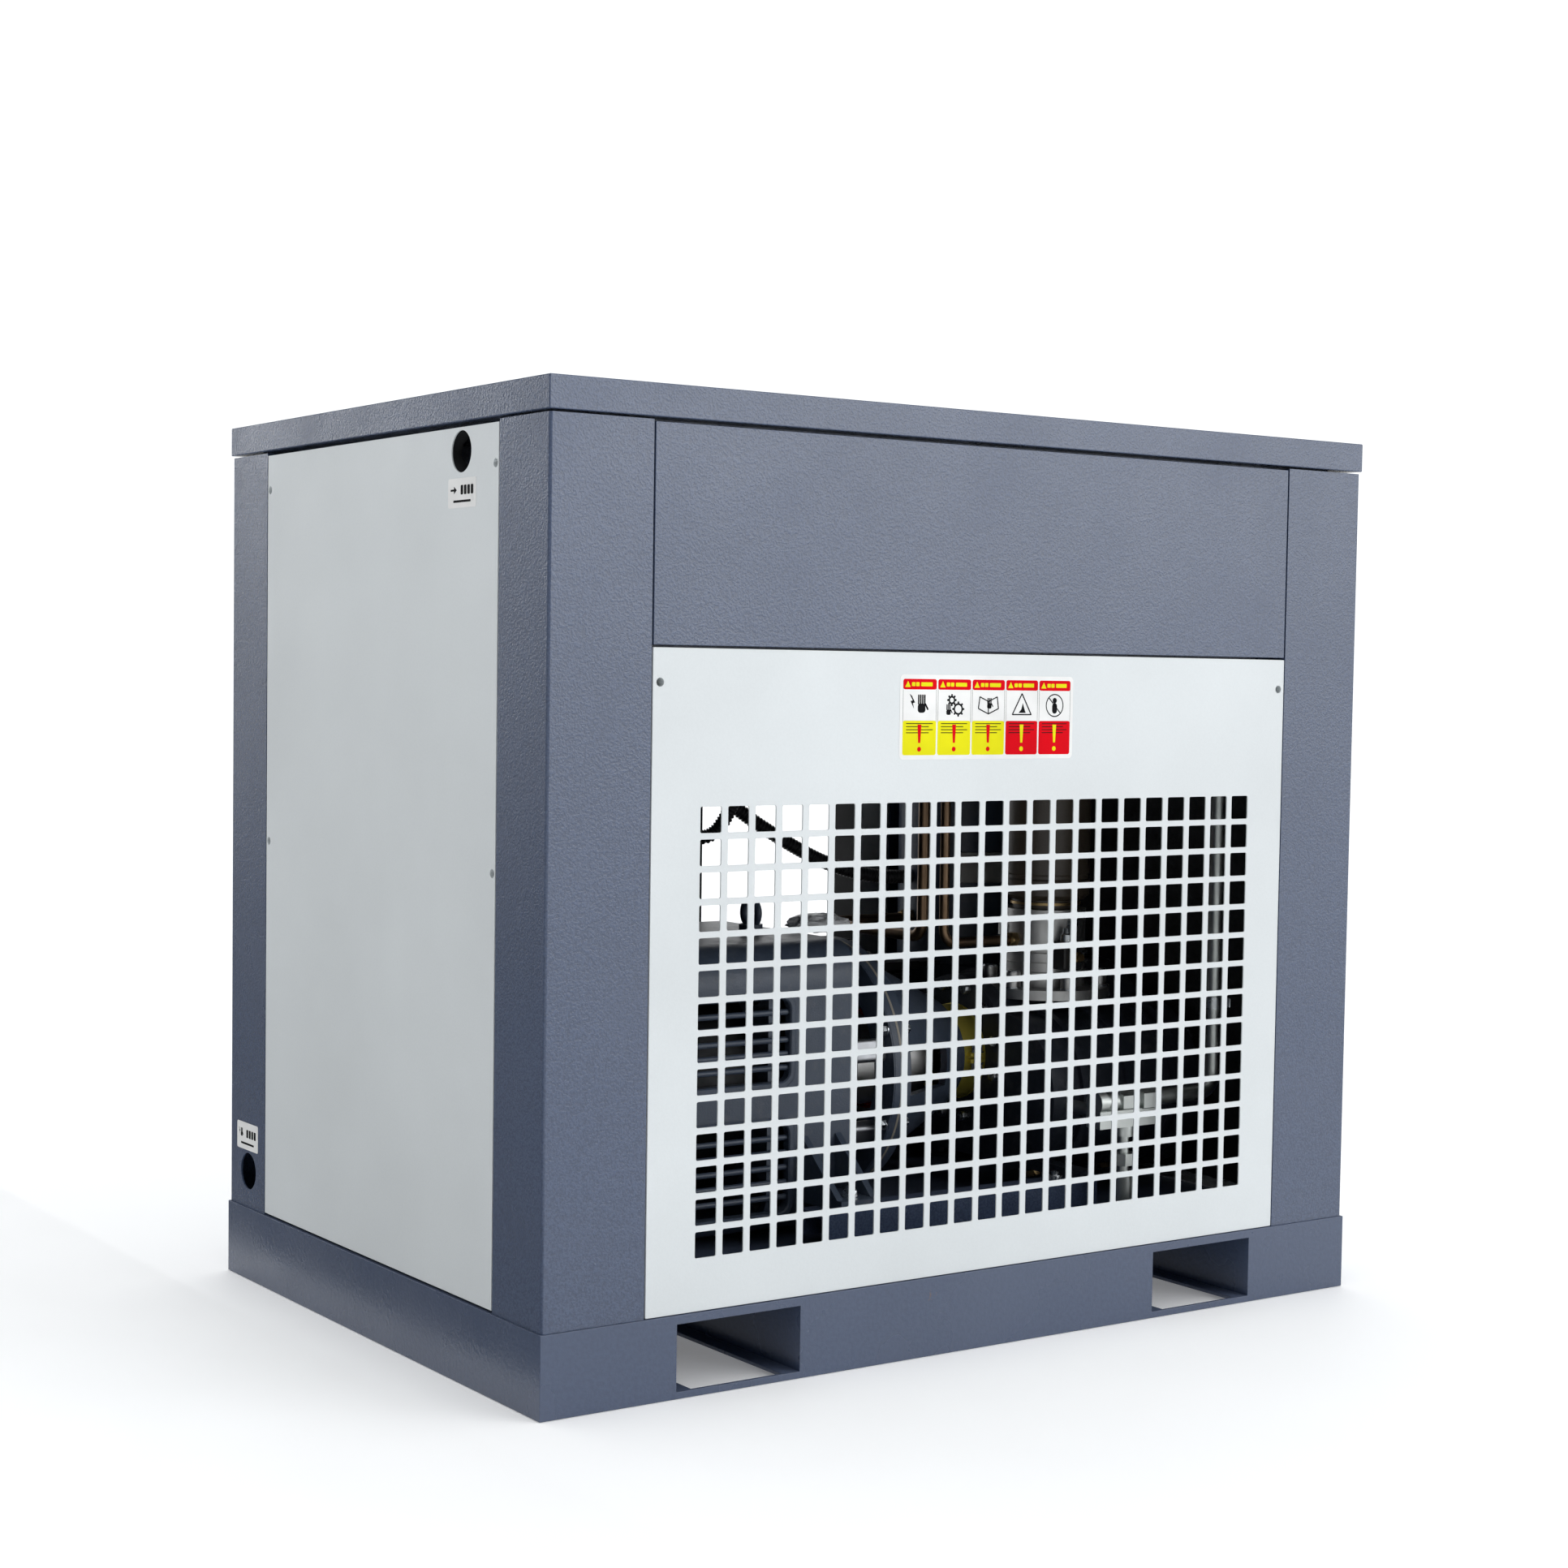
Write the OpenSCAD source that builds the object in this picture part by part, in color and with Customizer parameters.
// Enclosed direct-drive rotary screw air compressor, in millimetres.
// Origin: middle of the footprint, on the ground. The grille side faces -Y and the outlet side -X.

/* [Enclosure] */
// Overall width, along the grille side
case_w = 1100; // [1090:1:1130]
// Overall depth, along the outlet side
case_d = 750; // [744:1:780]
// Overall height
case_h = 1000; // [995:1:1020]
// Height of the base rail
base_h = 84; // [80:1:88]
// Height of the roof's skirt
roof_skirt = 32.5; // [30:0.5:36]
// Sheet thickness of the panels
skin = 1.5; // [1.2:0.1:2]
// Depth of a folded panel, from its face to its back edge
tray = 24; // [20:1:28]
// Width of a corner post on the grille side
post_w = 116; // [112:1:120]
// Width of a corner post on the outlet side
post_d = 98; // [92:1:102]
// Height of the seam between the upper and the lower front panels
seam_z = 746; // [740:1:752]

/* [Fork pockets] */
// Width of one fork pocket
fork_w = 150; // [140:1:160]
// Distance of a pocket's middle from the middle of the machine
fork_x = 319; // [310:1:325]
// Height of the strip left under a pocket
fork_z = 7; // [6:0.5:9]
// Top of a pocket
fork_top = 75; // [72:1:76]

/* [Grille] */
// Holes along the grille
grille_cols = 23; // [20:1:23]
// Holes up the grille
grille_rows = 14; // [12:1:14]
// Pitch of the holes along the grille
pitch_x = 32.95; // [32:0.05:33]
// Pitch of the holes up the grille
pitch_z = 32.63; // [32:0.05:33]
// Width of one hole
hole_w = 25.5; // [20:0.5:27]
// Height of one hole
hole_h = 26.75; // [20:0.25:27]

/* [Drive] */
// Height of the drive axis above the ground
axis_z = 256; // [254:1:258]
// Distance between the two screw rotors
centres = 100; // [99:0.5:101]
// Lobes of the male rotor
male_lobes = 4; // [4]
// Flutes of the female rotor
female_flutes = 6; // [6]
// Radius of a lobe
lobe_r = 24; // [22:0.5:24]
// Running gap round the rotors
rotor_gap = 0.6; // [0.5:0.1:1]
// Angle that the male rotor's lobes wind through
wrap = 300; // [240:10:320]

/* [Services] */
// Diameter of the air outlet hole in the side panel
outlet_hole = 42; // [40:1:46]
// Bore of the outlet socket, for a 1 inch pipe thread
outlet_bore = 30.2; // [28:0.1:31]
// Diameter of the wire entry hole in the rear post
wire_hole = 43; // [40:1:48]
// Angle that the service door stands open in the drawing
door_open = 0; // [0:5:110]

/* [Hidden] */
$fn = 48;

blue_grey = [0.33, 0.37, 0.46];
light_grey = [0.84, 0.86, 0.87];
motor_blue = [0.30, 0.36, 0.44];
airend_blue = [0.16, 0.19, 0.24];
steel = [0.62, 0.63, 0.64];
zinc = [0.74, 0.76, 0.76];
yellow_zinc = [0.80, 0.68, 0.20];
alloy = [0.70, 0.70, 0.69];
copper = [0.70, 0.42, 0.28];
rubber = [0.07, 0.07, 0.07];
dark = [0.10, 0.10, 0.11];

eps = 0.01;
// Outer faces: the roof and the base stand proud of the posts and panels by lip
lip = 2;
hw = case_w / 2;
hd = case_d / 2;
face_x = hw - lip;
face_y = hd - lip;
rail_t = 4;
rail_flange = 30;
post_t = 2;
post_top = case_h - roof_skirt - 2.5;
seat_w = 22;
open_x = face_x - post_w;
open_y = face_y - post_d;
back_x = face_x - tray;
back_y = face_y - tray;
gap = 1.8;
weld_gap = 0.05;
roof_z = case_h - roof_skirt;
frame_z = roof_z - 3.5;
screw_hole = 9;
thread_d = 6;
front_screw_z = 711;
front_screw_x = 422;
side_screw_z = [520.5, 922.5];
side_screw_y = 267;
outlet_y = -196;
outlet_z = 938;
wire_y = 321;
wire_z = 127.5;

// Motor
motor_x0 = -410;
motor_x1 = -30;
motor_hy = 160;
motor_hz = 163;
motor_wall = 9;
stator_x0 = -330;
stator_len = 220;
stator_r = 130;
rotor_r = 84.4;
shaft_r = 30;
drive_bearing = [25, 55, 27];
rear_bearing = [20, 45, 23];
run_gap = 0.05;
flange_x = 45;

// Coupling, bell housing and airend
bell_x0 = 57;
bell_x1 = 222;
clamp_x1 = 256;
airend_x1 = 470;
cover_x1 = 505;
female_y = -92;
female_z = axis_z - sqrt(centres * centres - female_y * female_y);
male_pitch_r = centres * male_lobes / (male_lobes + female_flutes);
female_pitch_r = centres - male_pitch_r;
rotor_x0 = clamp_x1 + 35;
rotor_len = 159;
bearing_x = [clamp_x1 + 11, rotor_x0 + rotor_len + 4];
bearing_w = 15;
male_shaft_r = 22;
female_shaft_r = 20;
casting_r = 95;
valve_x = 362;
valve_y = -42;
valve_z0 = 326;
valve_z1 = 434;

// Tank, cooler and fan
tank_x = 430;
tank_y = 215;
tank_r = 82;
tank_z0 = 100;
tank_z1 = 600;
cooler_x0 = -190;
cooler_x1 = 330;
cooler_hy = 240;
cooler_z0 = 860;
cooler_z1 = 955;
header = 30;
fan_x = 70;
fan_r = 168;

// Rear window and cabinet
window_x0 = 71;
window_x1 = 335;
window_z0 = 361;
window_z1 = 690;
split_x = 46;
cabinet_x0 = -405;
cabinet_x1 = -36;
cabinet_y0 = 215;
cabinet_z0 = 340;
cabinet_z1 = 725;

// ---- helpers ----

// Rectangle with round corners, from one corner to the other
module round_rect(x0, y0, x1, y1, r) {
  translate([x0 + r, y0]) square([x1 - x0 - 2 * r, y1 - y0]);
  translate([x0, y0 + r]) square([x1 - x0, y1 - y0 - 2 * r]);
  for (x = [x0 + r, x1 - r], y = [y0 + r, y1 - r]) translate([x, y]) circle(r);
}

// The children and their mirror image across X, or across Y
module both_x() {
  children();
  mirror([1, 0, 0]) children();
}

module both_y() {
  children();
  mirror([0, 1, 0]) children();
}

// Box from one corner to the other
module box(a, b) translate(a) cube(b - a);

// Cylinder along X, from x0 to x1, on the axis y, z
module rod_x(x0, x1, y, z, r) translate([x0, y, z]) rotate([0, 90, 0]) cylinder(h = x1 - x0, r = r);

// Cylinder along Y
module rod_y(x, y0, y1, z, r) translate([x, y1, z]) rotate([90, 0, 0]) cylinder(h = y1 - y0, r = r);

// Cylinder along Z
module rod_z(x, y, z0, z1, r) translate([x, y, z0]) cylinder(h = z1 - z0, r = r);

// Stands a flat outline, drawn in X and Z, between y0 and y1
module stand(y0, y1) translate([0, y1, 0]) rotate([90, 0, 0]) linear_extrude(y1 - y0) children();

// Lays a flat outline, drawn in Y and Z, between x0 and x1
module lay(x0, x1) translate([x0, 0, 0]) rotate([90, 0, 90]) linear_extrude(x1 - x0) children();

// Bent tube through points that turn at right angles, with bends of radius bend
module tube_run(points, r, bend) {
  n = len(points);
  dir = [for (i = [0 : n - 2]) (points[i + 1] - points[i]) / norm(points[i + 1] - points[i])];
  for (i = [0 : n - 2]) {
    a = points[i] + (i > 0 ? bend : 0) * dir[i];
    b = points[i + 1] - (i < n - 2 ? bend : 0) * dir[i];
    straight(a, b, r);
  }
  for (i = [1 : n - 2]) {
    d1 = dir[i - 1];
    d2 = dir[i];
    c = points[i] - bend * d1 + bend * d2;
    k = cross(-d2, d1);
    multmatrix([
      [-d2[0], d1[0], k[0], c[0]],
      [-d2[1], d1[1], k[1], c[1]],
      [-d2[2], d1[2], k[2], c[2]],
      [0, 0, 0, 1]
    ]) rotate_extrude(angle = 90) translate([bend, 0]) circle(r);
  }
}

// One straight cylinder between two points
module straight(a, b, r) {
  v = b - a;
  h = norm(v);
  translate(a) rotate([0, acos(v[2] / h), atan2(v[1], v[0])]) cylinder(h = h, r = r);
}

// Hexagon prism along X
module hex_x(x0, x1, y, z, r) translate([x0, y, z]) rotate([0, 90, 0]) cylinder(h = x1 - x0, r = r, $fn = 6);

// ---- base, posts and frame ----

module base_frame() color(blue_grey) {
  difference() {
    box([-hw, -hd, 0], [hw, hd, base_h]);
    box([-hw + rail_t, -hd + rail_t, rail_t], [hw - rail_t, hd - rail_t, base_h - rail_t]);
    box([-hw + rail_flange, -hd + rail_flange, -1], [hw - rail_flange, hd - rail_flange, rail_t + 1]);
    for (s = [-1, 1]) {
      box([s * fork_x - fork_w / 2, -hd - 1, fork_z], [s * fork_x + fork_w / 2, hd + 1, fork_top]);
      box([s * fork_x - fork_w / 2, -hd + rail_t, -1], [s * fork_x + fork_w / 2, hd - rail_t, fork_top]);
    }
  }
  for (s = [-1, 1], e = [-1, 1]) fork_channel(s * fork_x + e * fork_w / 2, e);
}

// Channel that walls one side of a fork pocket: e is the side that it stands on
module fork_channel(x, e) {
  flange = 20;
  web = e * rail_t;
  box([min(x, x + web), -hd + rail_t, fork_z - 4], [max(x, x + web), hd - rail_t, base_h - rail_t]);
  box([min(x, x - e * flange), -hd + rail_t, fork_z - 4], [max(x, x - e * flange), hd - rail_t, fork_z]);
}

// Plan of the corner post at -X -Y
module post_plan() {
  r = 3;
  translate([-face_x, -face_y]) {
    translate([r, 0]) square([post_w - r, post_t]);
    translate([0, r]) square([post_t, post_d - r]);
    intersection() {
      translate([r, r]) difference() {
        circle(r);
        circle(r - post_t);
      }
      square(r);
    }
  }
  translate([-open_x - post_t, -face_y]) square([post_t, tray + post_t]);
  translate([-open_x - post_t, -back_y]) square([seat_w, post_t]);
  translate([-face_x, -open_y - post_t]) square([tray + post_t, post_t]);
  translate([-back_x, -open_y - post_t]) square([post_t, seat_w]);
}

module post_body() {
  difference() {
    translate([0, 0, base_h]) linear_extrude(post_top - base_h) post_plan();
    rod_y(-front_screw_x, -back_y - 1, -back_y + post_t + 1, front_screw_z, thread_d / 2 + 0.2);
    for (z = side_screw_z) rod_x(-back_x - 1, -back_x + post_t + 1, -side_screw_y, z, thread_d / 2 + 0.2);
  }
}

module corner_posts_front() color(blue_grey) both_x() post_body();

module corner_posts_rear() color(blue_grey) {
  difference() {
    mirror([0, 1, 0]) post_body();
    rod_x(-face_x - 1, -face_x + post_t + 1, wire_y, wire_z, wire_hole / 2);
  }
  mirror([1, 0, 0]) mirror([0, 1, 0]) post_body();
}

// Rails, beams and hangers are separate members, fastened with weld_gap between them
module frame_rails() color(blue_grey) {
  inner_x = back_x - post_t;
  inner_y = back_y - post_t;
  top_w = 32;
  flange_h = 24;
  beam_w = 18;
  beam_h = 20;
  end_y = inner_y - 17;
  both_y() {
    // top rail along the front or the rear, an angle section
    box([-inner_x, -inner_y, frame_z], [inner_x, -inner_y + top_w, roof_z]);
    box([-inner_x, -inner_y, frame_z - flange_h], [inner_x, -inner_y + rail_t, frame_z + eps]);
    // rail behind the seam of the panels
    box([-open_x - post_t, -inner_y, seam_z - 12], [open_x + post_t, -inner_y + rail_t, seam_z + 12]);
  }
  // top rails along the two sides
  end = inner_y - top_w - weld_gap;
  both_x() box([-inner_x, -end, frame_z], [-inner_x + top_w, end, roof_z]);
  // beams that carry the cooler, each on two hangers
  for (x = [cooler_x0 - beam_w - 2, cooler_x1 + beam_w]) {
    box([x, -end_y, cooler_z0 - beam_h], [x + beam_w, end_y, cooler_z0]);
    for (s = [-1, 1]) {
      y = s * (end_y - rail_t / 2);
      box([x, y - rail_t / 2, cooler_z0 + weld_gap], [x + beam_w, y + rail_t / 2, frame_z - weld_gap]);
    }
  }
}

// ---- roof and panels ----

module roof_panel() color(blue_grey) {
  t = 2;
  back = 45;
  difference() {
    box([-hw, -hd, roof_z], [hw, hd, case_h]);
    box([-hw + t, -hd + t, roof_z + t], [hw - t, hd - t, case_h - t]);
    box([-hw + back, -hd + back, roof_z - 1], [hw - back, hd - back, roof_z + t + 1]);
    translate([0, 0, case_h - t - 1]) linear_extrude(t + 2)
      for (i = [0 : 14], j = [0 : 12])
        translate([fan_x + (i - 7) * pitch_x, (j - 6) * pitch_z])
          round_rect(-hole_w / 2, -hole_h / 2, hole_w / 2, hole_h / 2, 2);
  }
}

// Folded tray in X and Z, whose face is at y = -face_y
module tray_front(x0, x1, z0, z1) {
  difference() {
    box([x0, -face_y, z0], [x1, -back_y, z1]);
    box([x0 + skin, -face_y + skin, z0 + skin], [x1 - skin, -back_y + 1, z1 - skin]);
  }
}

// Folded tray in Y and Z, whose face is at x = -face_x
module tray_left(y0, y1, z0, z1) {
  difference() {
    box([-face_x, y0, z0], [-back_x, y1, z1]);
    box([-face_x + skin, y0 + skin, z0 + skin], [-back_x + 1, y1 - skin, z1 - skin]);
  }
}

// Screw cup behind the face, along +Y
module cup_y(x, z) difference() {
  rod_y(x, -face_y + skin, -back_y, z, screw_hole / 2 + 2);
  rod_y(x, -face_y, -back_y - 2, z, screw_hole / 2);
  rod_y(x, -face_y, -back_y + 1, z, thread_d / 2 + 0.2);
}

// Screw cup behind the face, along +X
module cup_x(y, z) difference() {
  rod_x(-face_x + skin, -back_x, y, z, screw_hole / 2 + 2);
  rod_x(-face_x, -back_x - 2, y, z, screw_hole / 2);
  rod_x(-face_x, -back_x + 1, y, z, thread_d / 2 + 0.2);
}

module front_upper_panel() color(blue_grey)
  tray_front(-open_x + gap, open_x - gap, seam_z + 1.3, post_top - gap);

module front_grille_panel() color(light_grey) {
  grille_x = 2;
  grille_z = 363.5;
  difference() {
    tray_front(-open_x + gap, open_x - gap, base_h + 1, seam_z - 1.3);
    stand(-face_y - 1, -face_y + skin + 1) for (i = [0 : grille_cols - 1], j = [0 : grille_rows - 1])
      translate([
        grille_x + (i - (grille_cols - 1) / 2) * pitch_x,
        grille_z + (j - (grille_rows - 1) / 2) * pitch_z
      ]) round_rect(-hole_w / 2, -hole_h / 2, hole_w / 2, hole_h / 2, 2);
    for (s = [-1, 1])
      rod_y(s * front_screw_x, -face_y - 1, -face_y + skin + 1, front_screw_z, screw_hole / 2);
  }
  for (s = [-1, 1]) cup_y(s * front_screw_x, front_screw_z);
}

module side_panel(with_outlet) {
  difference() {
    tray_left(-open_y + gap, open_y - gap, base_h + 3, post_top - 3);
    for (s = [-1, 1], z = side_screw_z)
      rod_x(-face_x - 1, -face_x + skin + 1, s * side_screw_y, z, screw_hole / 2);
    if (with_outlet) rod_x(-face_x - 1, -face_x + skin + 1, outlet_y, outlet_z, outlet_hole / 2);
  }
  for (s = [-1, 1], z = side_screw_z) cup_x(s * side_screw_y, z);
}

module left_side_panel() color(light_grey) side_panel(true);

module right_side_panel() color(light_grey) mirror([1, 0, 0]) side_panel(false);

pocket = [-245, 65, 800, 916];
pocket_depth = 36;
pocket_y = face_y - pocket_depth;
stop_x = 20;
stop_z = 858;

module rear_upper_panel() color(blue_grey) {
  difference() {
    mirror([0, 1, 0]) tray_front(-open_x + gap, open_x - gap, seam_z + 1.3, post_top - gap);
    box([pocket[0], face_y - 5, pocket[2]], [pocket[1], face_y + 1, pocket[3]]);
  }
  // walls of the pocket that the controls stand in
  difference() {
    box([pocket[0] - skin, pocket_y, pocket[2] - skin], [pocket[1] + skin, face_y - skin, pocket[3] + skin]);
    box([pocket[0], pocket_y - 1, pocket[2]], [pocket[1], face_y, pocket[3]]);
  }
}

module rear_intake_panel() color(light_grey) {
  t = skin;
  duct_y = 318;
  difference() {
    mirror([0, 1, 0]) tray_front(split_x + gap, open_x - gap, base_h + 1, seam_z - 1.3);
    box([window_x0, face_y - 5, window_z0], [window_x1, face_y + 1, window_z1]);
  }
  difference() {
    box([window_x0 - t, duct_y, window_z0 - t], [window_x1 + t, face_y - t, window_z1 + t]);
    box([window_x0, duct_y - 1, window_z0], [window_x1, face_y, window_z1]);
  }
}

// ---- service door ----

hinge_x = -open_x + 10.5;
hinge_y = face_y - 7;
hinge_z = [180, 640];
pin_r = 2.5;
door_x0 = -open_x + 4;
door_depth = 16;
lock_x = split_x - 24;
lock_z = 400;

// Swings what hangs on the service door's pins
module door_turn() translate([hinge_x, hinge_y, 0]) rotate([0, 0, door_open])
  translate([-hinge_x, -hinge_y, 0]) children();

module service_door() color(light_grey) door_turn() {
  z0 = base_h + 1;
  z1 = seam_z - 1.3;
  difference() {
    box([door_x0, face_y - door_depth, z0], [split_x, face_y, z1]);
    box([door_x0 + skin, face_y - door_depth - 1, z0 + skin], [split_x - skin, face_y - skin, z1 - skin]);
    rod_y(lock_x, face_y - 5, face_y + 1, lock_z, 10);
    // the side wall is cut away beside each hinge
    for (z = hinge_z)
      box([door_x0 - 1, face_y - door_depth - 1, z - 20], [door_x0 + skin + 0.5, face_y - skin, z + 20]);
  }
  for (z = hinge_z, s = [-1, 1]) {
    k = s < 0 ? z - 14 : z + 6;
    difference() {
      box([hinge_x - 4, hinge_y - 4, k], [hinge_x + 14, face_y - skin, k + 8]);
      rod_z(hinge_x, hinge_y, k - 1, k + 9, pin_r + run_gap);
    }
  }
}

module door_lock() color(zinc) door_turn() {
  difference() {
    union() {
      rod_y(lock_x, back_y - 2, face_y + 0.3, lock_z, 10 - run_gap);
      rod_y(lock_x, face_y + 0.2, face_y + 1.6, lock_z, 14);
    }
    box([lock_x - 2, face_y - 6, lock_z - 7], [lock_x + 2, face_y + 2, lock_z + 7]);
  }
  box([lock_x - 8, back_y - 6, lock_z - 38], [lock_x + 8, back_y - 2, lock_z + 8]);
}

module door_hinges() color(zinc) for (z = hinge_z) {
  rod_z(hinge_x, hinge_y, z - 16, z + 16, pin_r);
  rod_z(hinge_x, hinge_y, z - 5.7, z + 5.7, 4.8);
  box([hinge_x - 2, back_y, z - 5.7], [hinge_x + 3, hinge_y, z + 5.7]);
}

// ---- fasteners and foam ----

module cap_screw_z(x, y, z, r, head, down) {
  rod_z(x, y, z, z + head, 1.6 * r);
  rod_z(x, y, z - down, z + eps, r);
}

module panel_screws() color(zinc) {
  for (s = [-1, 1]) {
    rod_y(s * front_screw_x, -back_y - 8, -back_y - 2, front_screw_z, 4.2);
    rod_y(s * front_screw_x, -back_y - 2.01, -back_y + 8, front_screw_z, thread_d / 2);
  }
  for (s = [-1, 1], e = [-1, 1], z = side_screw_z) {
    a = s * (back_x + 8);
    b = s * (back_x + 2);
    c = s * (back_x - 8);
    rod_x(min(a, b), max(a, b), e * side_screw_y, z, 4.2);
    rod_x(min(b, c), max(b, c), e * side_screw_y, z, thread_d / 2);
  }
}

module acoustic_foam() color(dark) {
  t = 20;
  x = face_x - skin;
  y = face_y - skin;
  difference() {
    box([-x, -240, base_h + 14], [-x + t, 240, post_top - 8]);
    rod_x(-x - 1, -x + t + 1, outlet_y + 2, outlet_z + 1, outlet_hole / 2 + 3);
  }
  box([x - t, -240, base_h + 14], [x, 240, post_top - 8]);
  box([-open_x + 30, -y, seam_z + 16], [open_x - 30, -y + t, post_top - 8]);
}

// ---- drive support ----

rail_y = 215;
rail_w = 50;
rail_z0 = 100;
rail_z1 = 130;
rail_x = [-115, 279];
rail_t_web = 5;
foot_t = 12;
// Middle of the motor's rear feet, which stand on their own mounts, and of the mounts under the rails
foot_mount_x = -375;
rail_mount_x = [-65, 235];

module support_rails() color(blue_grey) for (s = [-1, 1]) difference() {
  y0 = s * rail_y - rail_w / 2;
  y1 = s * rail_y + rail_w / 2;
  box([rail_x[0], y0, rail_z0], [rail_x[1], y1, rail_z1]);
  box([rail_x[0] - 1, y0 + rail_t_web, rail_z0 - 1], [rail_x[1] + 1, y1 - rail_t_web, rail_z1 - rail_t_web]);
  for (x = rail_mount_x) rod_z(x, s * rail_y, rail_z1 - rail_t_web - 1, rail_z1 + 1, 5.5);
}

// Rubber buffer with its stud and nut: top is where the rubber ends, nut_z where the nut stands
module mount(x, y, top, nut_z) {
  rod_z(x, y, base_h, top, 19);
  rod_z(x, y, top - eps, nut_z + 12, 5);
  translate([x, y, nut_z]) cylinder(h = 8, r = 9.5, $fn = 6);
}

module vibration_mounts() color(rubber) for (s = [-1, 1]) {
  mount(foot_mount_x, s * rail_y, rail_z1, rail_z1 + foot_t);
  mount(rail_mount_x[0], s * rail_y, rail_z1 - rail_t_web, rail_z1 + foot_t);
  mount(rail_mount_x[1], s * rail_y, rail_z1 - rail_t_web, rail_z1);
}

// ---- motor ----

module motor_outline(inset) round_rect(
  -motor_hy + inset, axis_z - motor_hz + inset, motor_hy - inset, axis_z + motor_hz - inset, 45 - inset);

module motor_frame() color(motor_blue) {
  louvre = [[120, 220], [267, 360]];
  louvre_x = [-329, -111];
  bars = 5;
  bar = 3;
  bar_y = motor_hy - 4;
  foot_x = [-402, -92];
  foot_len = 54;
  foot_y = rail_y + 22;
  gusset_t = 8;
  gusset_z = 205;
  eye_x = -56;
  eye_z = axis_z + motor_hz;
  eye_r = 15;
  difference() {
    lay(motor_x0, motor_x1) motor_outline(0);
    lay(motor_x0 - 1, motor_x1 + 1) motor_outline(motor_wall);
    for (w = louvre) stand(-motor_hy - 30, motor_hy + 30)
      round_rect(louvre_x[0], w[0], louvre_x[1], w[1], 12);
  }
  // louvre bars
  for (w = louvre, s = [-1, 1], k = [1 : bars]) {
    z = w[0] + k * (w[1] - w[0]) / (bars + 1);
    rod_x(louvre_x[0] - 2, louvre_x[1] + 2, s * bar_y, z, bar);
  }
  // seats that hold the stator
  for (x = [stator_x0 + 8, stator_x0 + stator_len - 24]) difference() {
    lay(x, x + 16) motor_outline(motor_wall - 1);
    rod_x(x - 1, x + 17, 0, axis_z, stator_r);
    for (a = [45 : 90 : 315]) translate([x - 1, 0, axis_z]) rotate([a, 0, 0])
      translate([0, 0, 168]) rotate([0, 90, 0]) cylinder(h = 18, r = 26);
  }
  // feet
  for (s = [-1, 1], x = foot_x) {
    difference() {
      box([x, s > 0 ? motor_hy - 2 : -foot_y, rail_z1],
          [x + foot_len, s > 0 ? foot_y : -motor_hy + 2, rail_z1 + foot_t]);
      rod_z(x + foot_len / 2, s * rail_y, rail_z1 - 1, rail_z1 + foot_t + 1, 5.5);
    }
    for (g = [x, x + foot_len - gusset_t]) lay(g, g + gusset_t) polygon([
      [s * (motor_hy - 2), rail_z1 + foot_t - 1],
      [s * (foot_y - 7), rail_z1 + foot_t - 1],
      [s * (motor_hy - 2), gusset_z]
    ]);
  }
  // lifting eye
  rod_z(eye_x, 0, eye_z - 2, eye_z + 8, 14);
  translate([eye_x, 0, eye_z + 6 + eye_r]) rotate([90, 0, 90]) rotate_extrude()
    translate([eye_r, 0]) circle(4.5);
}

module motor_rear_shield() color(motor_blue) {
  x0 = motor_x0 - 14;
  difference() {
    union() {
      lay(x0, motor_x0) motor_outline(0);
      rod_x(x0 - 14, motor_x0 + 10, 0, axis_z, 58);
    }
    rod_x(x0 - 8, motor_x0 + 11, 0, axis_z, rear_bearing[1]);
    for (a = [30 : 60 : 330]) translate([x0 - 1, 0, axis_z]) rotate([a, 0, 0])
      translate([0, 0, 95]) rotate([0, 90, 0]) cylinder(h = 16, r = 24);
  }
}

module motor_drive_shield() color(motor_blue) {
  difference() {
    union() {
      lay(motor_x1, motor_x1 + 12) motor_outline(0);
      rod_x(motor_x1 - 20, motor_x1 + 18, 0, axis_z, 70);
      rod_x(flange_x, bell_x0, 0, axis_z, 150);
      for (a = [31 : 45 : 346]) translate([motor_x1 + 11, 0, axis_z]) rotate([a, 0, 0])
        translate([0, -12, 122]) cube([flange_x - motor_x1 - 10, 24, 14]);
    }
    rod_x(motor_x1 - 21, bell_x0 + 1, 0, axis_z, drive_bearing[1]);
    rod_x(flange_x - 1, bell_x0 + 1, 0, axis_z, 112);
    for (a = [8.5 : 45 : 323.5]) translate([motor_x1 - 1, 0, axis_z]) rotate([a, 0, 0])
      translate([0, 0, 104]) rotate([0, 90, 0]) cylinder(h = 14, r = 20);
  }
}

module stator() {
  color(steel) difference() {
    rod_x(stator_x0, stator_x0 + stator_len, 0, axis_z, stator_r);
    rod_x(stator_x0 - 1, stator_x0 + stator_len + 1, 0, axis_z, rotor_r + rotor_gap);
  }
  color(copper) for (x = [stator_x0 - 34, stator_x0 + stator_len]) difference() {
    rod_x(x, x + 34, 0, axis_z, 120);
    rod_x(x - 1, x + 35, 0, axis_z, 91);
  }
}

module rotor_core() color(steel) difference() {
  rod_x(stator_x0 - 6, stator_x0 + stator_len + 6, 0, axis_z, rotor_r);
  rod_x(stator_x0 - 7, stator_x0 + stator_len + 7, 0, axis_z, shaft_r);
  for (a = [0 : 60 : 300]) translate([stator_x0 - 7, 0, axis_z]) rotate([a, 0, 0])
    translate([0, 0, 54]) rotate([0, 90, 0]) cylinder(h = stator_len + 14, r = 11);
}

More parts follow.
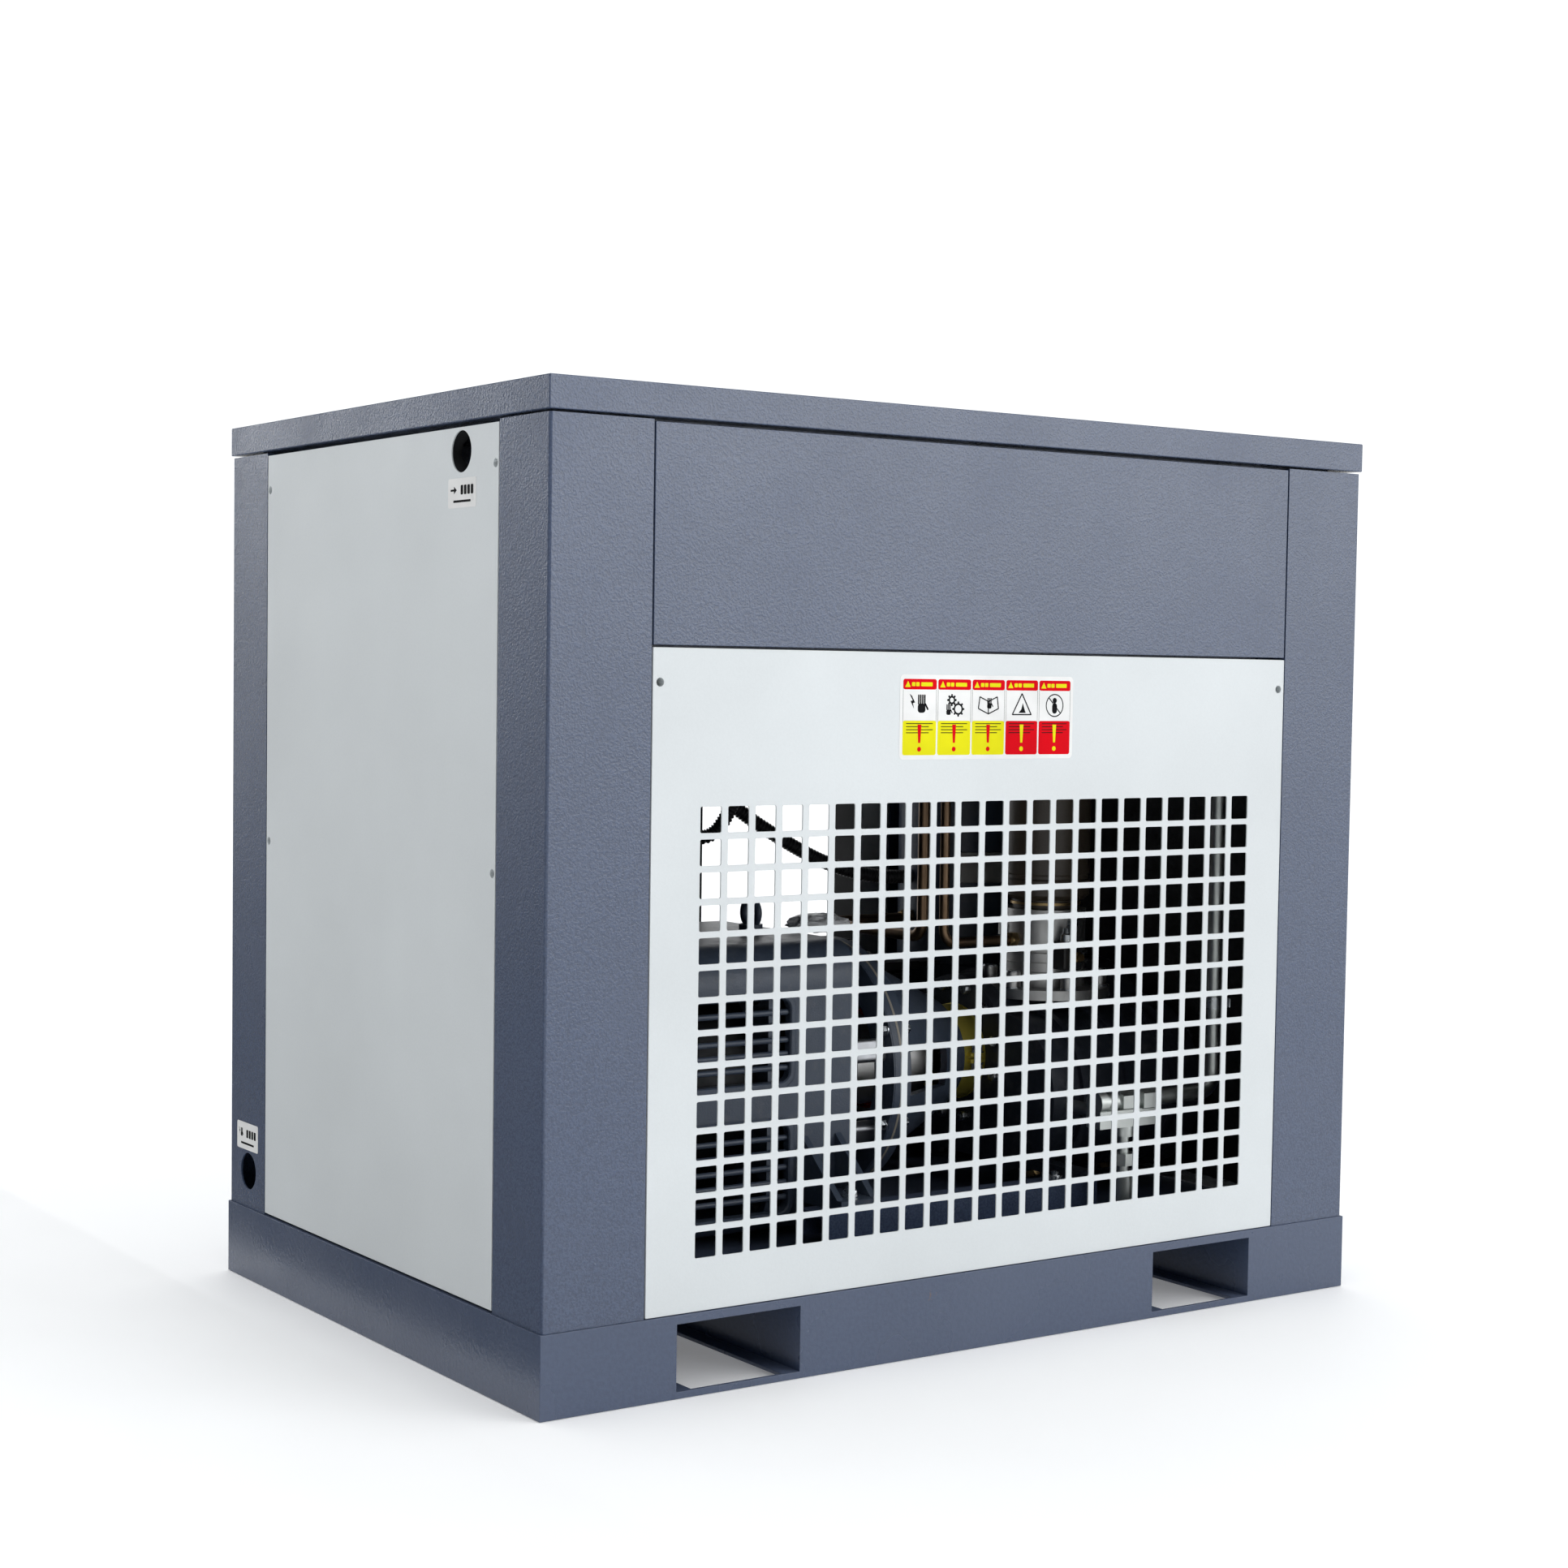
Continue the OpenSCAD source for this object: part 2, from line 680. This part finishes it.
module motor_shaft() color(steel) {
  rod_x(-430, -411, 0, axis_z, rear_bearing[0] - run_gap);
  rod_x(-411, -36, 0, axis_z, shaft_r);
  rod_x(-36, -6, 0, axis_z, drive_bearing[0] - run_gap);
  rod_x(-6, 103, 0, axis_z, 24);
}

module motor_fan() color(alloy) {
  x = -400;
  difference() {
    union() {
      rod_x(x, x + 34, 0, axis_z, 42);
      rod_x(x + 30, x + 34, 0, axis_z, 118);
      for (a = [0 : 40 : 320]) translate([x + 4, 0, axis_z]) rotate([a, 0, 0])
        translate([0, -2, 38]) cube([28, 4, 78]);
    }
    rod_x(x - 1, x + 35, 0, axis_z, shaft_r);
  }
}

// A bearing, drawn as one ring, on an axis along X
module ring_x(x0, y, z, inner, outer, width) difference() {
  rod_x(x0, x0 + width, y, z, outer);
  rod_x(x0 - 1, x0 + width + 1, y, z, inner);
}

module bearings() color(steel) {
  ring_x(-430, 0, axis_z, rear_bearing[0], rear_bearing[1], 18);
  ring_x(-35.5, 0, axis_z, drive_bearing[0], drive_bearing[1], drive_bearing[2]);
  for (x = bearing_x) {
    ring_x(x, 0, axis_z, male_shaft_r, 44, bearing_w);
    ring_x(x, female_y, female_z, female_shaft_r, 40, bearing_w);
  }
}

module terminal_box() color(motor_blue) difference() {
  box([-265, motor_hy, 205], [-150, motor_hy + 52, 320]);
  box([-259, motor_hy + 6, 211], [-156, motor_hy + 46, 314]);
  rod_x(-151, -148, motor_hy + 26, 262, 14);
  rod_x(-157, -148, motor_hy + 26, 262, 10);
}

// ---- coupling and bell housing ----

bell_len = bell_x1 - bell_x0;

module bell_housing() color(motor_blue) difference() {
  translate([bell_x0, 0, axis_z]) rotate([0, 90, 0]) rotate_extrude($fn = 96) polygon([
    [112, 0], [150, 0], [150, 13], [138, 13], [70, bell_len - 13], [60, bell_len - 10],
    [60, bell_len], [48, bell_len], [48, bell_len - 11], [60, bell_len - 18], [127, 10], [112, 6]
  ]);
  // windows on the four sides
  for (a = [0 : 90 : 270]) translate([0, 0, axis_z]) rotate([a, 0, 0])
    box([bell_x0 + 16, -26, 60], [bell_x0 + 115, 26, 170]);
}

// Sector of an annulus, in the plane across X
module sector_x(x0, x1, r0, r1, a, span) intersection() {
  ring_x(x0, 0, axis_z, r0, r1, x1 - x0);
  translate([x0 - 1, 0, axis_z]) rotate([a, 0, 0]) rotate([90, 0, 90]) linear_extrude(x1 - x0 + 2)
    polygon([[0, 0], 2 * r1 * [cos(-span / 2), sin(-span / 2)], 2 * r1 * [cos(span / 2), sin(span / 2)]]);
}

jaw_span = 34;

module coupling_hubs() color(alloy) {
  difference() {
    union() {
      rod_x(64, 106, 0, axis_z, 54);
      for (a = [0, 120, 240]) sector_x(106 - eps, 132, 26, 54, a, jaw_span);
    }
    rod_x(63, 107, 0, axis_z, 24);
  }
  difference() {
    union() {
      rod_x(134, 171, 0, axis_z, 54);
      for (a = [60, 180, 300]) sector_x(108, 134 + eps, 26, 54, a, jaw_span);
    }
    rod_x(133, 172, 0, axis_z, male_shaft_r);
  }
}

module coupling_spider() color([0.75, 0.08, 0.08]) {
  for (k = [0 : 5]) sector_x(107, 133, 27, 56, 30 + 60 * k, 60 - jaw_span - 3);
  ring_x(113, 0, axis_z, 56 - eps, 60, 14);
}

module clamp_ring() color(yellow_zinc) ring_x(bell_x1, 0, axis_z, 48, 58, clamp_x1 - bell_x1);

// ---- airend ----

module casting_plan(r) {
  translate([0, axis_z]) circle(r);
  translate([female_y, female_z]) circle(r);
}

rib_x = [298, 368, 438];
flange_r = 82;

module airend_housing() color(airend_blue) difference() {
  union() {
    lay(clamp_x1, airend_x1) casting_plan(casting_r);
    for (x = rib_x) lay(x, x + 9) casting_plan(casting_r + 6);
    lay(airend_x1 - 14, airend_x1) casting_plan(casting_r + 12);
    // foot
    box([clamp_x1 + 1, -150, rail_z1], [rail_x[1], 60, 175]);
    box([clamp_x1 + 1, -rail_y - 20, rail_z1], [rail_x[1], rail_y + 20, rail_z1 + foot_t]);
  }
  rod_x(rotor_x0 - 5, rotor_x0 + rotor_len + 4, 0, axis_z, male_pitch_r + lobe_r + rotor_gap);
  rod_x(rotor_x0 - 5, rotor_x0 + rotor_len + 4, female_y, female_z, female_pitch_r + rotor_gap);
  rod_x(clamp_x1 - 1, rotor_x0, 0, axis_z, male_shaft_r + 2);
  for (x = bearing_x) {
    rod_x(x - eps, x + bearing_w + eps, 0, axis_z, 44);
    rod_x(x - eps, x + bearing_w + eps, female_y, female_z, 40);
  }
  rod_x(bearing_x[0] + 10, rotor_x0 + 1, 0, axis_z, male_shaft_r + 2);
  rod_x(bearing_x[0] + 10, rotor_x0 + 1, female_y, female_z, female_shaft_r + 2);
  rod_x(rotor_x0 + rotor_len, airend_x1 + 1, 0, axis_z, male_shaft_r + 4);
  rod_x(rotor_x0 + rotor_len, airend_x1 + 1, female_y, female_z, female_shaft_r + 4);
  rod_z(valve_x, valve_y, axis_z, valve_z0 + 1, 32);
  // spot face under the intake valve
  rod_z(valve_x, valve_y, valve_z0, valve_z0 + 40, flange_r + 2);
}

module airend_cover() color(airend_blue) difference() {
  union() {
    lay(airend_x1, airend_x1 + 14) casting_plan(casting_r + 12);
    lay(airend_x1, cover_x1) casting_plan(casting_r - 20);
  }
  rod_x(airend_x1 - 1, airend_x1 + 22, 0, axis_z, male_shaft_r + 6);
  rod_x(airend_x1 - 1, airend_x1 + 22, female_y, female_z, female_shaft_r + 6);
}

// Helical rotor body along X, with the outline turned by start at its first end
module screw_body(y, z, start, twist) translate([rotor_x0, y, z]) rotate([90, 0, 90])
  rotate([0, 0, start]) linear_extrude(rotor_len, twist = twist, slices = 18) children();

// Direction from the male rotor's axis to the female rotor's, in the plane across X
mesh_line = atan2(female_z - axis_z, female_y);

module male_rotor() color(steel) {
  screw_body(0, axis_z, mesh_line, wrap) {
    circle(r = male_pitch_r - 2, $fn = 40);
    for (k = [0 : male_lobes - 1]) rotate(k * 360 / male_lobes)
      translate([male_pitch_r, 0]) circle(r = lobe_r, $fn = 28);
  }
  rod_x(134, rotor_x0 + eps, 0, axis_z, male_shaft_r - run_gap);
  rod_x(rotor_x0 + rotor_len - eps, airend_x1 + 16, 0, axis_z, male_shaft_r - run_gap);
}

module female_rotor() color(steel) {
  screw_body(female_y, female_z, mesh_line + 180, -wrap * male_lobes / female_flutes) difference() {
    circle(r = female_pitch_r, $fn = 60);
    for (k = [0 : female_flutes - 1]) rotate(k * 360 / female_flutes)
      translate([female_pitch_r, 0]) circle(r = lobe_r + 0.8, $fn = 28);
  }
  rod_x(bearing_x[0] + 2, rotor_x0 + eps, female_y, female_z, female_shaft_r - run_gap);
  rod_x(rotor_x0 + rotor_len - eps, airend_x1 + 16, female_y, female_z, female_shaft_r - run_gap);
}

// ---- intake ----

disc_z = valve_z0 + 22;
guide_z = valve_z0 + 80;

module intake_valve_body() {
  stud_r = 50;
  color(alloy) difference() {
    union() {
      rod_z(valve_x, valve_y, valve_z0, valve_z0 + 12, flange_r);
      rod_z(valve_x, valve_y, valve_z0, valve_z1, 50);
    }
    rod_z(valve_x, valve_y, valve_z0 - 1, disc_z, 40);
    rod_z(valve_x, valve_y, valve_z0 - 1, valve_z1 + 1, 34);
  }
  // bridge with the guide of the disc's stem
  color(alloy) difference() {
    union() {
      box([valve_x - 35, valve_y - 5, guide_z - 10], [valve_x + 35, valve_y + 5, guide_z]);
      rod_z(valve_x, valve_y, guide_z - 30, guide_z, 12);
    }
    rod_z(valve_x, valve_y, guide_z - 31, guide_z + 1, 6 + run_gap);
  }
  color(zinc) for (a = [15 : 60 : 315])
    cap_screw_z(valve_x + 68 * cos(a), valve_y + 68 * sin(a), valve_z0 + 12, 6, 20, 0);
  // lugs for the filter's studs
  for (a = [30 : 120 : 270]) {
    x = valve_x + stud_r * cos(a);
    y = valve_y + stud_r * sin(a);
    color(alloy) rod_z(x, y, valve_z1 - 34, valve_z1 - 20, 9);
    color(zinc) rod_z(x, y, valve_z1 - 20 - eps, valve_z1 - 12, 6);
  }
}

module intake_valve_disc() color(steel) {
  rod_z(valve_x, valve_y, disc_z - 6, disc_z - 0.2, 38);
  rod_z(valve_x, valve_y, disc_z - 1, guide_z - 2, 6);
}

module air_filter() color(dark) {
  can_r = 54;
  can_z0 = valve_z1 + 12;
  can_z1 = 700;
  difference() {
    union() {
      rod_z(valve_x, valve_y, valve_z1, can_z0 + 4, 42);
      rod_z(valve_x, valve_y, can_z0, can_z1, can_r);
    }
    rod_z(valve_x, valve_y, valve_z1 - 1, can_z1 - 10, 32);
  }
  rod_z(valve_x, valve_y, can_z1, can_z1 + 6, can_r - 10);
  rod_z(valve_x, valve_y, can_z1 + 6, can_z1 + 18, 9);
}

// ---- separator tank ----

module separator_tank() color(motor_blue) {
  difference() {
    union() {
      rod_z(tank_x, tank_y, tank_z0 + 20, tank_z1 - 14, tank_r);
      rod_z(tank_x, tank_y, tank_z0 + 6, tank_z0 + 20, tank_r - 10);
      rod_z(tank_x, tank_y, tank_z1 - 16, tank_z1, 92);
      rod_x(tank_x - tank_r - 16, tank_x - tank_r + 10, tank_y, 200, 17);
      rod_x(tank_x - tank_r - 20, tank_x - tank_r + 10, tank_y, 130, 13);
      rod_x(tank_x - tank_r - 18, tank_x - tank_r + 10, tank_y, 330, 20);
    }
    rod_z(tank_x, tank_y, tank_z0 + 24, tank_z1 + 1, tank_r - 6);
    rod_x(tank_x - tank_r - 17, tank_x, tank_y, 200, 10);
    rod_x(tank_x - tank_r - 21, tank_x, tank_y, 130, 7);
  }
  for (a = [90, 210, 330]) {
    x = tank_x + (tank_r - 22) * cos(a);
    y = tank_y + (tank_r - 22) * sin(a);
    rod_z(x, y, base_h, tank_z0 + 8, 8);
    rod_z(x, y, base_h, base_h + 4, 16);
  }
  // filler cap
  color(zinc) rod_x(tank_x - tank_r - 34, tank_x - tank_r - 18, tank_y, 330, 24);
}

module tank_lid() {
  color(motor_blue) difference() {
    rod_z(tank_x, tank_y, tank_z1, tank_z1 + 22, 92);
    rod_z(tank_x + 22, tank_y + 18, tank_z1 - 1, tank_z1 + 23, 12);
    rod_z(tank_x - 40, tank_y - 20, tank_z1 - 1, tank_z1 + 23, 5);
  }
  for (a = [0 : 45 : 315])
    color(zinc) cap_screw_z(tank_x + 84 * cos(a), tank_y + 84 * sin(a), tank_z1 + 22, 4, 8, 0);
}

module level_glass() color([0.75, 0.85, 0.85, 0.5])
  rod_x(tank_x - tank_r - 19, tank_x - tank_r - 11, tank_y, 200, 9.9);

safe_x = tank_x - 40;
safe_y = tank_y - 20;

module safety_valve_body() color(yellow_zinc) difference() {
  union() {
    rod_z(safe_x, safe_y, tank_z1 + 22, tank_z1 + 34, 11);
    translate([safe_x, safe_y, tank_z1 + 34]) cylinder(h = 12, r = 13, $fn = 6);
    rod_z(safe_x, safe_y, tank_z1 + 46, tank_z1 + 70, 9);
  }
  rod_z(safe_x, safe_y, tank_z1 + 21, tank_z1 + 66, 5);
  rod_z(safe_x, safe_y, tank_z1 + 60, tank_z1 + 71, 2.5 + run_gap);
}

module safety_valve_stem() color(steel) {
  rod_z(safe_x, safe_y, tank_z1 + 26, tank_z1 + 84, 2.5);
  rod_z(safe_x, safe_y, tank_z1 + 26, tank_z1 + 32, 4.6);
  translate([safe_x, safe_y + 1.5, tank_z1 + 92]) rotate([90, 0, 0]) rotate_extrude()
    translate([9, 0]) translate([0, 1.5]) circle(1.5);
}

drain_x = tank_x - tank_r - 20;

module drain_valve_body() color(yellow_zinc) difference() {
  union() {
    hex_x(drain_x - 14, drain_x, tank_y, 130, 14);
    rod_x(drain_x - 34, drain_x - 14, tank_y, 130, 13);
    rod_x(drain_x - 46, drain_x - 34, tank_y, 130, 10);
    rod_z(drain_x - 24, tank_y, 130, 150, 7);
  }
  rod_x(drain_x - 47, drain_x + 1, tank_y, 130, 5);
  rod_z(drain_x - 24, tank_y, 124, 151, 3 + run_gap);
}

module drain_valve_lever() color([0.75, 0.10, 0.08]) {
  rod_z(drain_x - 24, tank_y, 136, 154, 3);
  box([drain_x - 29, tank_y - 5, 150.4], [drain_x + 10, tank_y + 5, 153]);
}

press_x = tank_x + 22;
press_y = tank_y + 18;
press_z = tank_z1 + 22;

module minimum_pressure_valve() color(alloy) difference() {
  union() {
    rod_z(press_x, press_y, press_z, press_z + 62, 24);
    rod_z(press_x, press_y, press_z, press_z + 10, 34);
    rod_y(press_x, press_y - 46, press_y, press_z + 34, 13);
  }
  rod_z(press_x, press_y, press_z - 1, press_z + 11, 12);
  rod_z(press_x, press_y, press_z + 10, press_z + 54, 16 + run_gap);
  rod_y(press_x, press_y - 47, press_y, press_z + 34, 7);
}

module minimum_pressure_piston() color(yellow_zinc) {
  rod_z(press_x, press_y, press_z + 10.2, press_z + 30, 16);
}

module oil_filter() {
  x = 262;
  y = 175;
  head_z = 342;
  head = 40;
  can_r = 45;
  can_h = 132;
  color(alloy) difference() {
    box([x - head, y - head, head_z], [x + head, y + head, head_z + 10]);
    rod_z(x, y, head_z - 2, head_z + 11, 8);
  }
  // spin-on can: seal, body and round end
  color(dark) {
    rod_z(x, y, head_z - 4, head_z, 30);
    rod_z(x, y, head_z - 4 - can_h, head_z - 4, can_r);
    rod_z(x, y, head_z - 10 - can_h, head_z - 4 - can_h, can_r - 11);
  }
  // bracket to the tank
  color(steel) box([x + head - 2, y - 20, head_z], [tank_x - tank_r + 4.5, y + 12, head_z + 6]);
}

// ---- cooler and fan ----

module cooler() color(alloy) {
  x0 = cooler_x0;
  x1 = cooler_x1;
  difference() {
    box([x0, -cooler_hy, cooler_z0], [x1, cooler_hy, cooler_z1]);
    box([x0 + 8, -cooler_hy + 8, cooler_z0 + 30], [x1 - 8, cooler_hy - 8, cooler_z1 + 1]);
    for (i = [0 : 12], j = [0 : 11])
      translate([x0 + 30 + i * 38.3, -cooler_hy + 29 + j * 38.3, 0])
        box([-14, -14, cooler_z0 - 1], [14, 14, cooler_z0 + 31]);
  }
  for (x = [x0 - header, x1]) difference() {
    box([x, -cooler_hy, cooler_z0], [x + header, cooler_hy, cooler_z1]);
    box([x + 3, -cooler_hy + 3, cooler_z0 + 3], [x + header - 3, cooler_hy - 3, cooler_z1 - 3]);
    if (x < x0) rod_x(x - 1, x + 4, outlet_y, outlet_z, 8);
  }
}

module fan_shroud() color(blue_grey) {
  z0 = cooler_z0 - 60;
  difference() {
    box([cooler_x0, -cooler_hy + 4, z0], [cooler_x1, cooler_hy - 4, cooler_z0]);
    box([cooler_x0 + 3, -cooler_hy + 7, z0 + 3], [cooler_x1 - 3, cooler_hy - 7, cooler_z0 + 1]);
    rod_z(fan_x, 0, z0 - 1, z0 + 4, fan_r + 8);
  }
  for (a = [0, 90]) translate([fan_x, 0, z0]) rotate([0, 0, a]) difference() {
    box([-fan_r - 12, -7, -5], [fan_r + 12, 7, 0]);
    rod_z(0, 0, -6, 1, 44);
  }
}

module fan_motor() color(dark) {
  z0 = cooler_z0 - 60;
  difference() {
    union() {
      rod_z(fan_x, 0, z0 - 96, z0 - 5, 50);
      rod_z(fan_x, 0, z0 - 10, z0 - 5, 56);
      rod_z(fan_x, 0, z0 - 102, z0 - 96, 40);
      for (a = [0 : 30 : 330]) translate([fan_x, 0, z0 - 88]) rotate([0, 0, a])
        translate([48, -1.5, 0]) cube([8, 3, 70]);
    }
    rod_z(fan_x, 0, z0 - 60, z0, 8 + run_gap);
  }
}

module cooling_fan() color(dark) {
  z0 = cooler_z0 - 60;
  rod_z(fan_x, 0, z0 - 58, z0 + 12, 8);
  rod_z(fan_x, 0, z0 + 8, z0 + 46, 42);
  for (a = [0 : 51.43 : 309]) translate([fan_x, 0, z0 + 27]) rotate([0, 0, a])
    translate([36, 0, 0]) rotate([32, 0, 0]) translate([0, -30, -1.6]) cube([fan_r - 46, 60, 3.2]);
}

// ---- pipes ----

oil_x = 424;
oil_y = -280;
oil_r = 9.5;

module oil_pipe() {
  start_x = cooler_x1 + header;
  start_y = -200;
  top_z = 905;
  low_z = 231;
  // valve block that the pipe ends at: its plate hangs under the pipe's axis
  block_x = 282;
  reach = 47;
  plate_z = low_z - 29;
  color(steel) tube_run([
    [start_x, start_y, top_z], [oil_x, start_y, top_z], [oil_x, oil_y, top_z],
    [oil_x, oil_y, low_z], [block_x + 40, oil_y, low_z]
  ], oil_r, 26);
  color(zinc) {
    rod_x(block_x - 42, block_x + 40, oil_y, low_z, 10);
    rod_x(block_x - 46, block_x - 34, oil_y, low_z, 14);
    hex_x(block_x - 12, block_x + 10, oil_y, low_z, 15);
    hex_x(block_x + 18, block_x + 42, oil_y, low_z, 17);
    box([block_x - reach, oil_y - 12, plate_z], [block_x + reach, oil_y + 12, low_z - 9]);
    // drain branch, down to the base
    rod_z(block_x, oil_y, base_h, plate_z + eps, 7);
    rod_z(block_x, oil_y, plate_z - 12, plate_z + eps, 12);
    translate([block_x, oil_y, plate_z - 46]) cylinder(h = 14, r = 15, $fn = 6);
    rod_z(block_x, oil_y, base_h, plate_z - 53, 11);
    rod_y(block_x, oil_y + 12 - eps, female_y - casting_r, low_z - 20, 8);
    hex_x(start_x, start_x + 14, start_y, top_z, 15);
  }
}

module copper_pipes() {
  rise_x = cooler_x1 + 8;
  color(copper) tube_run([
    [tank_x - tank_r, tank_y, 400], [200, tank_y, 400], [200, 0, 400], [200, 0, 770],
    [rise_x, 0, 770], [rise_x, 0, cooler_z0]
  ], 7, 20);
  color(yellow_zinc) tube_run([
    [valve_x - 50, valve_y, 396], [200, valve_y, 396], [200, valve_y, 740], [200, -140, 740],
    [rise_x, -140, 740], [rise_x, -140, cooler_z0]
  ], 6, 18);
}

module outlet_pipe() color(zinc) {
  difference() {
    union() {
      rod_x(-508, -455, outlet_y, outlet_z, 20);
      rod_x(-456, cooler_x0 - header, outlet_y, outlet_z, 16.8);
    }
    rod_x(-509, -478, outlet_y, outlet_z, outlet_bore / 2);
    rod_x(-479, cooler_x0 - header + 1, outlet_y, outlet_z, 13);
  }
}

// ---- electrics ----

module electrical_cabinet() color(blue_grey) {
  t = 2;
  difference() {
    box([cabinet_x0, cabinet_y0, cabinet_z0], [cabinet_x1, back_y - 6, cabinet_z1]);
    box([cabinet_x0 + t, cabinet_y0 + t, cabinet_z0 + t], [cabinet_x1 - t, back_y, cabinet_z1 - t]);
    for (route = conduit_routes) rod_x(cabinet_x1 - t - 1, cabinet_x1 + 1, route[0][1], route[0][2], 12);
    rod_z(-360, 300, cabinet_z0 - 1, cabinet_z0 + t + 1, 20);
  }
}

module switchgear() {
  y0 = cabinet_y0 + 2;
  low_z = 440;
  high_z = 620;
  rail_h = 17;
  // devices clip on the front of the rails
  y = y0 + 7;
  contactor_w = 56;
  contactor_h = 45;
  terminal_pitch = 16;
  color(steel) for (z = [low_z, high_z]) box([-390, y0, z - rail_h], [cabinet_x1 - 8, y, z + rail_h]);
  color(dark) for (x = [-384, -322, -260]) {
    box([x, y, high_z - contactor_h], [x + contactor_w, y + 75, high_z + contactor_h]);
    box([x + 8, y + 75, high_z - 25], [x + contactor_w - 8, y + 83, high_z + 25]);
  }
  // overload relay, transformer, terminals and controller
  color(dark) box([-196, y, high_z - 35], [-142, y + 63, high_z + 35]);
  color(copper) box([-128, y, high_z - 30], [-62, y + 59, high_z + 30]);
  color(light_grey) for (i = [0 : 11])
    translate([-380 + i * terminal_pitch, y, low_z - 20]) cube([terminal_pitch - 2, 38, 42]);
  color(dark) box([-160, y, low_z - 35], [-70, y + 53, low_z + 35]);
}

module control_unit() {
  plate = [-228, -58, 812, 904];
  display = [-214, -132, 842, 894];
  button_r = 7;
  guard_r = 30;
  color(dark) difference() {
    box([pocket[0] - skin, pocket_y - 3, pocket[2] - skin], [pocket[1] + skin, pocket_y, pocket[3] + skin]);
    rod_y(stop_x, pocket_y - 4, pocket_y + 1, stop_z, 9);
  }
  color(dark) difference() {
    box([plate[0], pocket_y, plate[2]], [plate[1], pocket_y + 10, plate[3]]);
    box([display[0], pocket_y + 7, display[2]], [display[1], pocket_y + 11, display[3]]);
  }
  color([0.35, 0.5, 0.6]) box([display[0], pocket_y + 7, display[2]], [display[1], pocket_y + 8, display[3]]);
  // two rows of three buttons
  color(light_grey) for (i = [0 : 5])
    rod_y(-212 + (i % 3) * 26 + (i > 2 ? 92 : 0), pocket_y + 9.9, pocket_y + 11, i > 2 ? 866 : 826, button_r);
  color(yellow_zinc) difference() {
    union() {
      rod_y(stop_x, pocket_y, pocket_y + 3, stop_z, guard_r);
      rod_y(stop_x, pocket_y, pocket_y + 12, stop_z, 15);
      rod_y(stop_x, pocket_y - 40, pocket_y, stop_z, 9);
      box([stop_x - 15, pocket_y - 62, stop_z - 15], [stop_x + 15, pocket_y - 30, stop_z + 15]);
    }
    rod_y(stop_x, pocket_y - 34, pocket_y + 13, stop_z, 6 + run_gap);
  }
}

module emergency_stop_button() color([0.78, 0.06, 0.05]) {
  rod_y(stop_x, pocket_y - 28, pocket_y + 18, stop_z, 6);
  rod_y(stop_x, pocket_y + 17, pocket_y + 25, stop_z, 15);
  rod_y(stop_x, pocket_y + 24, pocket_y + 32, stop_z, 20);
}

// ---- cable conduits ----

conduit_r = 9;
// To the tank, and to the fan motor
conduit_routes = [
  [[-34, 262, 612], [-14, 261, 609], [6, 259, 601], [27, 256, 589], [48, 252, 575], [69, 248, 560],
   [91, 244, 545], [113, 240, 530], [136, 236, 516], [159, 233, 503], [182, 230, 491], [206, 227, 480],
   [230, 224, 471], [254, 222, 464], [278, 220, 459], [302, 218, 456], [325, 217, 455], [347, 216, 455]],
  [[-34, 250, 560], [-20, 250, 556], [-7, 249, 548], [3, 248, 536], [11, 246, 524], [21, 243, 515],
   [34, 239, 513], [46, 234, 519], [54, 228, 531], [59, 220, 547], [62, 210, 565], [65, 197, 585],
   [69, 181, 607], [74, 163, 630], [79, 143, 654], [83, 121, 679], [84, 99, 702], [83, 77, 722],
   [81, 57, 737]]
];

function unit(v) = v / norm(v);
function along(p, i) = unit(p[min(i + 1, len(p) - 1)] - p[max(i - 1, 0)]);

// Tube of a closed skin through every point of a route
module swept(p, r, sides) {
  n = len(p);
  points = [for (i = [0 : n - 1]) let(
    d = along(p, i), u = unit(cross(d, [0.3, 1, 0.2])), w = cross(d, u)
  ) for (k = [0 : sides - 1]) p[i] + r * (cos(360 * k / sides) * u + sin(360 * k / sides) * w)];
  walls = [for (i = [0 : n - 2], k = [0 : sides - 1]) let(m = (k + 1) % sides)
    [i * sides + k, i * sides + m, (i + 1) * sides + m, (i + 1) * sides + k]];
  first = [for (k = [sides - 1 : -1 : 0]) k];
  last = [for (k = [0 : sides - 1]) (n - 1) * sides + k];
  polyhedron(points, concat(walls, [first, last]), convexity = 4);
}

module cable_conduits() color(rubber) for (route = conduit_routes) swept(route, conduit_r, 10);

base_frame();
corner_posts_front();
corner_posts_rear();
frame_rails();
roof_panel();
front_upper_panel();
front_grille_panel();
left_side_panel();
right_side_panel();
rear_upper_panel();
rear_intake_panel();
service_door();
door_lock();
door_hinges();
panel_screws();
acoustic_foam();
support_rails();
vibration_mounts();
motor_frame();
motor_rear_shield();
motor_drive_shield();
stator();
rotor_core();
motor_shaft();
motor_fan();
bearings();
terminal_box();
bell_housing();
coupling_hubs();
coupling_spider();
clamp_ring();
airend_housing();
airend_cover();
male_rotor();
female_rotor();
intake_valve_body();
intake_valve_disc();
air_filter();
separator_tank();
tank_lid();
oil_filter();
level_glass();
safety_valve_body();
safety_valve_stem();
drain_valve_body();
drain_valve_lever();
minimum_pressure_valve();
minimum_pressure_piston();
cooler();
fan_shroud();
fan_motor();
cooling_fan();
oil_pipe();
copper_pipes();
outlet_pipe();
electrical_cabinet();
switchgear();
control_unit();
emergency_stop_button();
cable_conduits();
